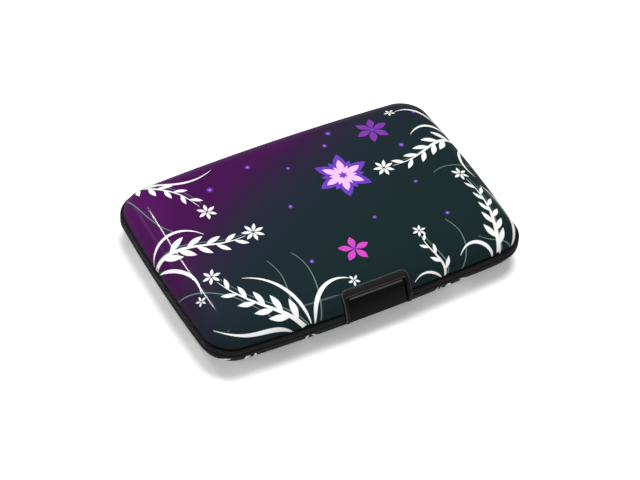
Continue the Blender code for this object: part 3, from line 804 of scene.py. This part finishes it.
def sageLines():
    # blades of grass, and a thin line aside of each branch
    grassSize = (pen["grassHalf"], pen["grassTip"])
    strokes = [stemStroke(control, *grassSize) for control in drawing["grasses"]]
    right, up = pen["aside"]
    for spray in drawing["branches"]:
        aside = [(x + right, y + up) for x, y in spray[0]]
        strokes.append(stemStroke(aside, pen["asideHalf"], pen["asideTip"]))
    return strokes


inkPiece("whiteDrawing", whiteSprays(1), whiteInk, 1)
inkPiece("sageDrawing", sageLines(), sageInk)
for name, material, layer in (("violetPetals", violetInk, 0), ("rosePetals", roseInk, 1),
                              ("magentaPetals", magentaInk, 0), ("purplePetals", purpleInk, 0),
                              ("blossomEyes", violetInk, 2)):
    inkPiece(name, [petal for ring in drawing[name] for petal in blossom(*ring)], material, layer)
inkPiece("baseDrawing", whiteSprays(-1), whiteInk, side=-1)
print("drawing printed")


# Moulded frames with the rear hinge


band = {
    "halfBand": 1.33, "halfGap": 0.08, "round": 0.24, "roundSteps": 4, "wallThickness": 1.2,
    "wallTop": 4.4, "wallSteps": 5,
}
hinge = {
    "length": 48, "knuckles": 5, "gap": 0.3, "gapShare": 0.75, "barrelRadius": 1.4, "pinRadius": 0.5,
    "endWall": 0.8, "rim": 0.15, "sides": 40,
}


def bandStations(side):
    # the rounded band that shows between the shells, and the wall that stands behind the shoulder
    soft = band["round"]
    corner = quarterTurn(band["roundSteps"])
    stations = [(soft * (1 - upward), band["halfGap"] + soft * inward) for inward, upward in corner]
    stations += [(soft * inward, band["halfBand"] - soft * (1 - upward)) for inward, upward in corner]
    back = skinThickness + seatGap
    wallBack = back + band["wallThickness"]
    stations.append((edgeInset + back, band["halfBand"]))
    heights = evenly(edgeHeight, band["wallTop"], band["wallSteps"])
    stations += [(skinInset(height, back), height) for height in heights]
    stations += [(skinInset(height, wallBack), height) for height in reversed(heights)]
    stations.append((edgeInset + wallBack, band["halfGap"]))
    return [(inset, side * height) for inset, height in stations]


def knuckleSpans(first):
    pitch = hinge["length"] / hinge["knuckles"]
    starts = [-hinge["length"] / 2 + index * pitch for index in range(first, hinge["knuckles"], 2)]
    return [(start + hinge["gap"] / 2, start + pitch - hinge["gap"] / 2) for start in starts]


def hingedFrame(name, side, first, home):
    # a frame with room for the other frame's knuckles, and its own knuckles
    piece = shape(sweepRound(bandStations(side), True), name)
    spare = hinge["gap"] * hinge["gapShare"]
    radius, sides = hinge["barrelRadius"], hinge["sides"]
    room = bmesh.new()
    for start, end in knuckleSpans(1 - first):
        roundBar(room, start - spare, end + spare, (rearY, 0), radius + seatGap, sides)
    cutAway(piece, shape(room, name + "Room"))
    barrels = bmesh.new()
    for start, end in knuckleSpans(first):
        roundBar(barrels, start, end, (rearY, 0), radius, sides, hinge["rim"])
    attach(shape(barrels, name + "Knuckles"), [frameAbs], *home)
    return piece


upperHome = ("lid", ["upper_frame"], "black_frame_upper")
lowerHome = ("lower_case", ["lower_frame"], "black_frame_lower")
upperFrame = hingedFrame("upperFrame", 1, 1, upperHome)
lowerFrame = hingedFrame("lowerFrame", -1, 0, lowerHome)

pinEnd = hinge["length"] / 2 - hinge["endWall"] - seatGap
hingePin = barPiece("hingePin", pinEnd, (rearY, 0), hinge["pinRadius"])
attach(hingePin, [pinSteel], "lower_case", ["hinge_pin"], "steel_pin")
print("frames and hinge made")


# Latch


latch = {
    "proud": 0.5, "drop": 1.8, "footTop": 0.2, "bendUp": 1.1, "bendBack": 1, "leanStep": 0.2,
    "skinStart": 3.4, "bendSteps": 8, "faceSteps": 12, "cheekWidth": 1.35, "footDepth": 1, "depth": 1.46,
    "deepenFrom": 2.4, "deepenOver": 1.5, "keeperHeight": 6.2, "keeperSlope": 1.7, "rim": 0.28,
    "rimSteps": 5, "footRound": 0.5, "footSteps": 5, "border": 0.03, "noHighlightFoot": 0.6, "noHighlightEdge": 0.05,
    "noHighlightKeeper": 0.1,
    # the room behind the surround, and the housing round it
    "cavityOut": 1, "ceiling": 5.75, "ceilingFront": 4.85, "floor": 0.75, "floorFront": 3.3,
    "housingFront": 2.9, "housingBack": 7.6, "housingBase": 0.35, "housingGap": 0.1, "roofSteps": 8,
    "backWall": 1.1,
}
rocker = {
    "sideGap": 0.25, "topGap": 0.3, "drop": 1.72, "thickness": 1.1, "footThickness": 0.7, "recess": 0.3,
    # inset and height of the panel's bends
    "knee": (0.25, 0.6), "breast": (1.35, 2.9), "neck": (2.3, 4.6), "brow": 3.2, "browThickness": 0.8,
    "browFall": 0.1, "edge": 0.12, "edgeAngle": 35,
    "ridgeHeight": 5.25, "ridgeRadius": 0.32, "ridgeEnd": 0.6, "ridgeEdge": 0.12,
    "pivot": (2.3, 2), "bossRadius": 1.1, "bossGap": 0.1, "pinRadius": 0.5,
    "hookHalf": 7.5, "hookTip": 1.45, "hookRoot": 0.3, "hookHeight": 0.6, "hookLift": 0.1,
    "hookChamfer": 0.2, "hookChamferRise": 0.1, "hookEdge": 0.05,
}
# insets and heights of the catch's boss and its slot
catch = {
    "front": 0.85, "back": 3.8, "top": -0.15, "bottom": -2.6, "slotFront": 0.7, "slotBack": 1.95,
    "slotTop": -0.75, "slotBottom": -1.95, "slotHalf": 8,
}
buttonHome = ("latch_button", ["latch_button"], "black_button")
openHalf = latchHalf - latch["cheekWidth"]
buttonHalf = openHalf - rocker["sideGap"]
reach = shell["latchReach"]
proud = latch["proud"]

# the line of the surround's face, as inset and height: an upright foot, a bend, and then proud of the skin
skinHigh = latch["skinStart"]
skinAt = skinInset(skinHigh, -proud)
lean = (skinAt - skinInset(skinHigh - latch["leanStep"], -proud)) / latch["leanStep"]
bendBack = latch["bendBack"]
bend = ((-proud, latch["footTop"]), (-proud, latch["footTop"] + latch["bendUp"]),
        (skinAt - bendBack * lean, skinHigh - bendBack), (skinAt, skinHigh))
faceLine = [(-proud, -latch["drop"])]
faceLine += [alongCurve(bend, share)[:2] for share in evenly(0, 1, latch["bendSteps"])]
faceLine += [(inset, skinHeight(inset, -proud)) for inset in evenly(skinAt, reach, latch["faceSteps"])[1:]]

# each point of the line with its distance from the foot's end and the direction that it faces
facePath = []
along = 0
for index, here in enumerate(faceLine):
    before, after = faceLine[max(index - 1, 0)], faceLine[min(index + 1, len(faceLine) - 1)]
    along += dist(before, here)
    facePath.append((along, Vector(here), Vector((before[1] - after[1], after[0] - before[0])).normalized()))
keeperInset = skinInset(latch["keeperHeight"], -proud)
for (lastRun, last, lastOutward), (run, here, outward) in zip(facePath, facePath[1:]):
    if last.x <= keeperInset < here.x:
        keeperRun = lastRun + (run - lastRun) * (keeperInset - last.x) / (here.x - last.x)


def underFace(along, deep):
    # the inset and height of a point at a distance along the face and a depth under it
    for (lastRun, last, lastOutward), (run, here, outward) in zip(facePath, facePath[1:]):
        if along <= run:
            break
    share = clamp((along - lastRun) / (run - lastRun), 0, 1)
    return last.lerp(here, share) - lastOutward.lerp(outward, share).normalized() * deep


def flatArch(end):
    # the surround as a flat plate one unit deep, with its corners and rims rounded
    bm = bmesh.new()
    arch = [(-latchHalf, 0), (-openHalf, 0), (-openHalf, keeperRun), (openHalf, keeperRun), (openHalf, 0),
            (latchHalf, 0), (latchHalf, end), (-latchHalf, end)]
    bm.faces.new([bm.verts.new((x, along, -1)) for x, along in arch])
    for place, radius, steps in ((end, shell["latchRadius"], shell["latchSteps"]),
                                 (0, latch["footRound"], latch["footSteps"])):
        corners = [v for v in bm.verts if abs(v.co.x) > latchHalf - near and abs(v.co.y - place) < near]
        roundOff(bm, "VERTICES", corners, radius, steps)
    extrudeFace(bm, bm.faces[:][0], (0, 0, 1))
    rims = [e for e in bm.edges if all(v.co.z > -near for v in e.verts)]
    # the rounded rims take the second material, a painted highlight
    roundOff(bm, "EDGES", rims, latch["rim"], latch["rimSteps"], 1)
    broad = [face for face in bm.faces if all(v.co.z > -near for v in face.verts)]
    bmesh.ops.inset_region(bm, faces=broad, thickness=latch["border"], use_even_offset=True)
    # the keeper's underside lies level, so the button can rock in under it
    for vert in bm.verts:
        if vert.co.z < near - 1 and abs(vert.co.x) < openHalf + near and abs(vert.co.y - keeperRun) < near:
            vert.co.y += latch["keeperSlope"]
    return bm


def surroundArch():
    # the flat arch, divided at each point of the face's line and bent over it
    rim = latch["rim"]
    bm = flatArch(facePath[-1][0])
    for run, here, outward in facePath[1:-1]:
        bmesh.ops.bisect_plane(bm, geom=bm.verts[:] + bm.edges[:] + bm.faces[:], dist=near,
                               plane_co=(0, run, 0), plane_no=(0, 1, 0))
    for face in bm.faces:
        # only the outer rim and the keeper's lip keep the painted highlight; the foot and the rims beside
        # the opening go back to the plain black
        middle = face.calc_center_median()
        inside = abs(middle.x) < openHalf + rim + latch["noHighlightEdge"]
        if middle.y < latch["noHighlightFoot"] or (inside and middle.y < keeperRun - latch["noHighlightKeeper"]):
            face.material_index = 0
    footDepth = latch["footDepth"]
    for vert in bm.verts:
        share = clamp((vert.co.y - latch["deepenFrom"]) / latch["deepenOver"], 0, 1)
        full = footDepth + (latch["depth"] - footDepth) * share
        deep = -vert.co.z
        if deep > rim:
            deep = rim + (deep - rim) * (full - rim) / (1 - rim)
        place = underFace(vert.co.y, deep)
        vert.co = (vert.co.x, frontY + place.x, place.y)
    return bm


# the surround in plain black, with its rounded rims in the painted highlight
attach(shape(surroundArch(), "latchSurround"), [frameAbs, paintedHighlightAbs], *upperHome)

# the room behind the surround in which the button rocks
cavityFront = -proud - latch["cavityOut"]
cavityBack = latch["housingBack"] - latch["backWall"]
cavityBottom = -latch["drop"] - caseForm["over"]
ceilingFront, floorFront = latch["ceilingFront"], latch["floorFront"]
cavity = [(cavityFront, cavityBottom), (cavityFront, latch["keeperHeight"]),
          (ceilingFront, latch["keeperHeight"]), (ceilingFront, latch["ceiling"]),
          (cavityBack, latch["ceiling"]), (cavityBack, latch["floor"]),
          (floorFront, latch["floor"]), (floorFront, cavityBottom)]
cutAway(upperFrame, acrossCase(cavity, openHalf, "frameCavity"))
attach(upperFrame, [frameAbs], *upperHome)

# the housing, whose roof follows the underside of the lid
roof = [(latch["housingFront"], latch["housingBase"])]
for inset in evenly(latch["housingFront"], latch["housingBack"], latch["roofSteps"]):
    roof.append((inset, skinHeight(inset, skinThickness + seatGap)))
roof.append((latch["housingBack"], latch["housingBase"]))
housing = acrossCase(roof, latchHalf - latch["housingGap"], "latchHousing")
cutAway(housing, acrossCase(cavity, openHalf, "housingCavity"))
attach(housing, [frameAbs], *upperHome)

# the catch: room for the latch's foot in the lower band, and a boss with a slot that the hook enters
footRoom = boxSection(-caseForm["outside"], catch["front"], -band["halfBand"] - caseForm["over"], 0)
cutAway(lowerFrame, acrossCase(footRoom, latchHalf + shell["sideGap"], "footRoom"))
attach(lowerFrame, [frameAbs], *lowerHome)
bossSection = boxSection(catch["front"], catch["back"], catch["bottom"], catch["top"])
catchBoss = acrossCase(bossSection, latchHalf, "catchBoss")
slotSection = boxSection(catch["slotFront"], catch["slotBack"], catch["slotBottom"], catch["slotTop"])
cutAway(catchBoss, acrossCase(slotSection, catch["slotHalf"], "hookSlot"))
attach(catchBoss, [frameAbs], *lowerHome)

# the rocking button, down its face and back up behind
foot = rocker["recess"] - proud
footBack = foot + rocker["footThickness"]
bottom = -rocker["drop"]
top = latch["keeperHeight"] - rocker["topGap"]
thick = rocker["thickness"]
kneeInset, kneeHeight = rocker["knee"]
breastInset, breastHeight = rocker["breast"]
neckInset, neckHeight = rocker["neck"]
browInset = rocker["brow"]
panel = [(foot, bottom), (kneeInset, kneeHeight), (breastInset, breastHeight), (neckInset, neckHeight),
         (browInset, top), (browInset + rocker["browThickness"], top - rocker["browFall"]),
         (neckInset + thick, neckHeight), (breastInset + thick, breastHeight),
         (kneeInset + thick, kneeHeight + thick / 2), (footBack, 0), (footBack, bottom)]
button = acrossCase(panel, buttonHalf, "latchButton")
roundEdges(button, rocker["edge"], 3, rocker["edgeAngle"])
attach(button, [buttonAbs], *buttonHome)

# the grip ridge, a round bar half sunk in the panel, all in the lighter black of the painted highlight
rise = (rocker["ridgeHeight"] - neckHeight) / (top - neckHeight)
ridgePlace = (frontY + neckInset + rise * (browInset - neckInset), rocker["ridgeHeight"])
ridge = barPiece("buttonRidge", buttonHalf - rocker["ridgeEnd"], ridgePlace, rocker["ridgeRadius"],
                 edge=rocker["ridgeEdge"])
attach(ridge, [paintedHighlightAbs], *buttonHome)

# the boss round the pin, and the hook at the foot
pivotPlace = (frontY + rocker["pivot"][0], rocker["pivot"][1])
boss = barPiece("buttonBoss", buttonHalf - rocker["bossGap"], pivotPlace, rocker["bossRadius"],
                hinge["sides"])
attach(boss, [buttonAbs], *buttonHome)
hookBottom, hookTop = bottom + rocker["hookLift"], bottom + rocker["hookHeight"]
hookRoot, hookTip = foot + rocker["hookRoot"], rocker["hookTip"]
hookSection = [(hookRoot, hookBottom), (hookTip - rocker["hookChamfer"], hookBottom),
               (hookTip, hookBottom + rocker["hookChamferRise"]), (hookTip, hookTop), (hookRoot, hookTop)]
hook = acrossCase(hookSection, rocker["hookHalf"], "buttonHook")
roundEdges(hook, rocker["hookEdge"], 2, 30)
attach(hook, [buttonAbs], *buttonHome)

pinReach = latchHalf - latch["cheekWidth"] / 4 - seatGap
latchPin = barPiece("latchPin", pinReach, pivotPlace, rocker["pinRadius"])
attach(latchPin, [pinSteel], "lid", ["latch_pin"], "steel_pin")

# the return spring: wire wound round an axis that runs from behind the button to the housing
spring = {
    "radius": 0.95, "wire": 0.25, "sides": 12, "turns": 3, "steps": 24, "start": 4.6, "end": 6.115,
    "height": 3.4,
}
coil = bmesh.new()
axisAt = Vector((0, frontY + spring["start"], spring["height"]))
bmesh.ops.create_circle(coil, cap_ends=False, segments=spring["sides"], radius=spring["wire"] / 2,
                        matrix=Matrix.Translation(axisAt + Vector((spring["radius"], 0, 0))))
wireEnd = coil.edges[:]
windings = spring["turns"] * spring["steps"]
advance = (spring["end"] - spring["start"]) / windings
wound = bmesh.ops.spin(coil, geom=wireEnd, cent=axisAt, axis=(0, 1, 0), dvec=(0, advance, 0),
                       angle=radians(-360 * spring["turns"]), steps=windings)
bmesh.ops.edgeloop_fill(coil, edges=wireEnd)
bmesh.ops.edgeloop_fill(coil, edges=only(bmesh.types.BMEdge, wound["geom_last"]))
attach(shape(coil, "latchSpring"), [springSteel], "lid", ["latch_spring"], "spring_steel", 60)
print("latch made")


# Card file: leaves and the pleated strips round them


file = {
    "pockets": 7, "top": 8.33, "endInset": 11.8, "frontInset": 12.9, "rearInset": 12.5, "leaf": 0.4,
    "leafEdge": 0.09, "corner": 3.5, "leafSteps": 10, "pleatSteps": 6, "sideCuts": 15, "frontDepth": 5.8,
    "rearDepth": 1.9, "film": 0.1, "weldOut": 0.06, "weldUp": 0.11, "firstApexShare": 0.88,
    # share of the way to the apex, then of the way from the far rim, and share of the full depth
    "fold": [(0, 0), (0.5, 0.52), (0.85, 0.87), (1, 1), (0.85, 0.87), (0.5, 0.52), (0, 0)],
}
pockets = file["pockets"]
leafHalf = halfLength - file["endInset"]
leafFront = frontY + file["frontInset"]
leafRear = rearY - file["rearInset"]
pitch = 2 * file["top"] / pockets


def leafPlate(name, index, body, node, slotName):
    # a card leaf with softened rims
    base = -file["top"] + index * pitch - file["leaf"] / 2
    bm = roundPlate(2 * leafHalf, leafFront, leafRear, file["corner"], file["leafSteps"], base,
                    base + file["leaf"], file["leafEdge"])
    attach(shape(bm, name), [leafFilm], body, [node], slotName)


leafPlate("endLeafLower", 0, "lower_case", "end_leaf_lower", "end_leaf_film")
leafPlate("endLeafUpper", pockets, "lid", "end_leaf_upper", "end_leaf_film")
for index in range(1, pockets):
    leafPlate(f"dividerLeaf{index}", index, f"leaf_{index}", f"divider_leaf_{index}", "divider_film")


def leafOutline(bm, height):
    # the leaves' rim but for its front edge, with sides divided
    plateFace(bm, 2 * leafHalf, leafFront, leafRear, height)
    rear = [v for v in bm.verts if v.co.y > (leafRear + leafFront) / 2]
    roundOff(bm, "VERTICES", rear, file["corner"], file["pleatSteps"])
    bmesh.ops.delete(bm, geom=bm.faces[:], context="FACES_ONLY")
    frontEdge = [e for e in bm.edges if all(abs(v.co.y - leafFront) < near for v in e.verts)]
    bmesh.ops.delete(bm, geom=frontEdge, context="EDGES")
    sides = [e for e in bm.edges if e.calc_length() > file["corner"]]
    bmesh.ops.subdivide_edges(bm, edges=sides, cuts=file["sideCuts"])


def foldedStrip(low, high, apex):
    # the strip between two heights, folded outwards and shallower towards the rear
    bm = bmesh.new()
    leafOutline(bm, low)
    outward = bm.verts.layers.float_vector.new("outward")
    start = bm.verts.layers.float_vector.new("start")
    core = leafHalf - file["corner"]
    for vert in bm.verts:
        middle = Vector((clamp(vert.co.x, -core, core), min(vert.co.y, leafRear - file["corner"]), low))
        vert[outward] = (vert.co - middle).normalized()
        vert[start] = vert.co
    line = bm.edges[:]
    for step, (way, deep) in enumerate(file["fold"]):
        share = way * apex if step <= len(file["fold"]) // 2 else 1 - way * (1 - apex)
        verts = set(bm.verts)
        if step:
            verts, line, faces = extrudeLine(bm, line)
        for vert in verts:
            back = (vert[start].y - leafFront) / (leafRear - leafFront)
            depth = file["frontDepth"] + back * (file["rearDepth"] - file["frontDepth"])
            vert.co = vert[start] + vert[outward] * (file["weldOut"] + deep * depth)
            vert.co.z = low + share * (high - low)
    return bm


def pleat(index):
    # one strip down both sides and round the rear of two leaves, just clear of their rims
    low = -file["top"] + index * pitch + file["weldUp"]
    high = low + pitch - 2 * file["weldUp"]
    firstApex = file["firstApexShare"]
    apex = {0: firstApex, pockets - 1: 1 - firstApex}.get(index, 0.5)
    piece = shape(foldedStrip(low, high, apex), f"pleat{index + 1}")
    film = piece.modifiers.new("film", "SOLIDIFY")
    film.thickness = file["film"]
    film.offset = 0
    applyModifiers(piece)
    dressPiece(piece, [pleatFilm], 40)
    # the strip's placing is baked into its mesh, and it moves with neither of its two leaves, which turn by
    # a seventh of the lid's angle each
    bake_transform(piece)
    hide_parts(f"pleat_{index + 1}")


for index in range(pockets):
    pleat(index)
print("card file made")


# Materials for the CAD nodes that stay


for node in ("adhesive_pad_lower", "adhesive_pad_upper"):
    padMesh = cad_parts[node].data
    padMesh.materials.clear()
    padMesh.materials.append(padFoam)


# Floor, light and camera


stage = {"floorSize": 3, "paper": "#FAFAFA", "mirroredPaper": "#6E6E6E", "lift": 0.3}
# for each soft box its azimuth, elevation, size, power, whether it is mirrored, and slant; the mirrored ones
# show as the thin line left of the latch, the glint on the near corner and the left shoulder's lines
light = {
    "world": 0.05,
    "distance": 0.9,
    "boxes": {
        "keyBox": (120, 84, (0.46, 0.46), 8.6, False, 0),
        "fillBox": (-60, 50, (0.8, 0.8), 1.6, False, 0),
        "stripBox": (34, 58.5, (0.03, 0.10), 0.11, True, 0),
        "cornerBox": (-48, 62, (0.10, 0.06), 0.12, True, 0),
        "creaseBox": (-150, 47, (0.022, 0.155), 0.9, True, -43),
        "leftBox": (-142, 27, (0.10, 0.30), 0.12, True, -43),
    },
}


def paperFloor():
    # matt studio paper, which shows white to the camera and keeps the soft shadow
    made, tree, shader = newMaterial("paperCoatedMatt", Roughness=0.9, Specular_IOR_Level=0.1,
                                     Emission_Color="#FFFFFF")
    rays = addNode(tree, "LightPath").outputs
    # the case mirrors the paper darker than it is, as through a polarising filter
    tone = mixColours(tree, rays["Is Glossy Ray"], stage["paper"], stage["mirroredPaper"])
    tree.links.new(tone, shader.inputs["Base Color"])
    lift = addNode(tree, "Math", {"operation": "MULTIPLY", 1: stage["lift"]}, {0: rays["Is Camera Ray"]})
    tree.links.new(lift.outputs["Value"], shader.inputs["Emission Strength"])
    return made


floorMesh = bmesh.new()
bmesh.ops.create_grid(floorMesh, x_segments=1, y_segments=1, size=stage["floorSize"])
floorData = bpy.data.meshes.new("floor")
floorMesh.to_mesh(floorData)
floorMesh.free()
floor = addToScene("floor", floorData)
floor.data.materials.append(paperFloor())

world = bpy.data.worlds.new("studio")
bpy.context.scene.world = world
world.use_nodes = True
world.node_tree.nodes["Background"].inputs["Color"].default_value = (1, 1, 1, 1)
world.node_tree.nodes["Background"].inputs["Strength"].default_value = light["world"]


def directionTo(azimuth, elevation):
    # azimuth is zero in front of the case and grows to its right
    turn, rise = radians(azimuth), radians(elevation)
    return Vector((sin(turn) * cos(rise), -cos(turn) * cos(rise), sin(rise)))


def softBox(name, azimuth, elevation, size, power, mirrored, slant):
    # a rectangular soft box that faces the case
    lamp = bpy.data.lights.new(name, "AREA")
    lamp.shape = "RECTANGLE"
    lamp.size, lamp.size_y = size
    lamp.energy = power
    made = addToScene(name, lamp)
    outward = directionTo(azimuth, elevation)
    made.location = outward * light["distance"]
    facing = outward.to_track_quat("Z", "Y").to_matrix() @ Matrix.Rotation(radians(slant), 3, "Z")
    made.rotation_euler = facing.to_euler()
    made.visible_glossy = mirrored
    made.visible_camera = False


for name, values in light["boxes"].items():
    softBox(name, *values)

# focal length and picture width in pixels, and the sensor's width in mm
view = {
    "azimuth": -31.25, "elevation": 46.18, "roll": 3.99, "distance": 0.76414, "focal": 2491.97,
    "picture": 640, "sensor": 36, "target": (-0.00238, -0.00511, 0.00945),
}
camera = bpy.data.cameras.new("camera")
camera.sensor_width = view["sensor"]
camera.lens = view["focal"] * view["sensor"] / view["picture"]
camera.clip_start = 0.01
cameraObject = addToScene("camera", camera)
backward = directionTo(view["azimuth"], view["elevation"])
right = Vector((0, 0, 1)).cross(backward).normalized()
level = Matrix((right, backward.cross(right), backward)).transposed()
rolled = level @ Matrix.Rotation(radians(view["roll"]), 3, "Z")
place = Vector(view["target"]) + backward * view["distance"]
cameraObject.matrix_world = Matrix.Translation(place) @ rolled.to_4x4()
bpy.context.scene.camera = cameraObject
bpy.context.scene.view_settings.view_transform = "Standard"
print("floor, light and camera made")
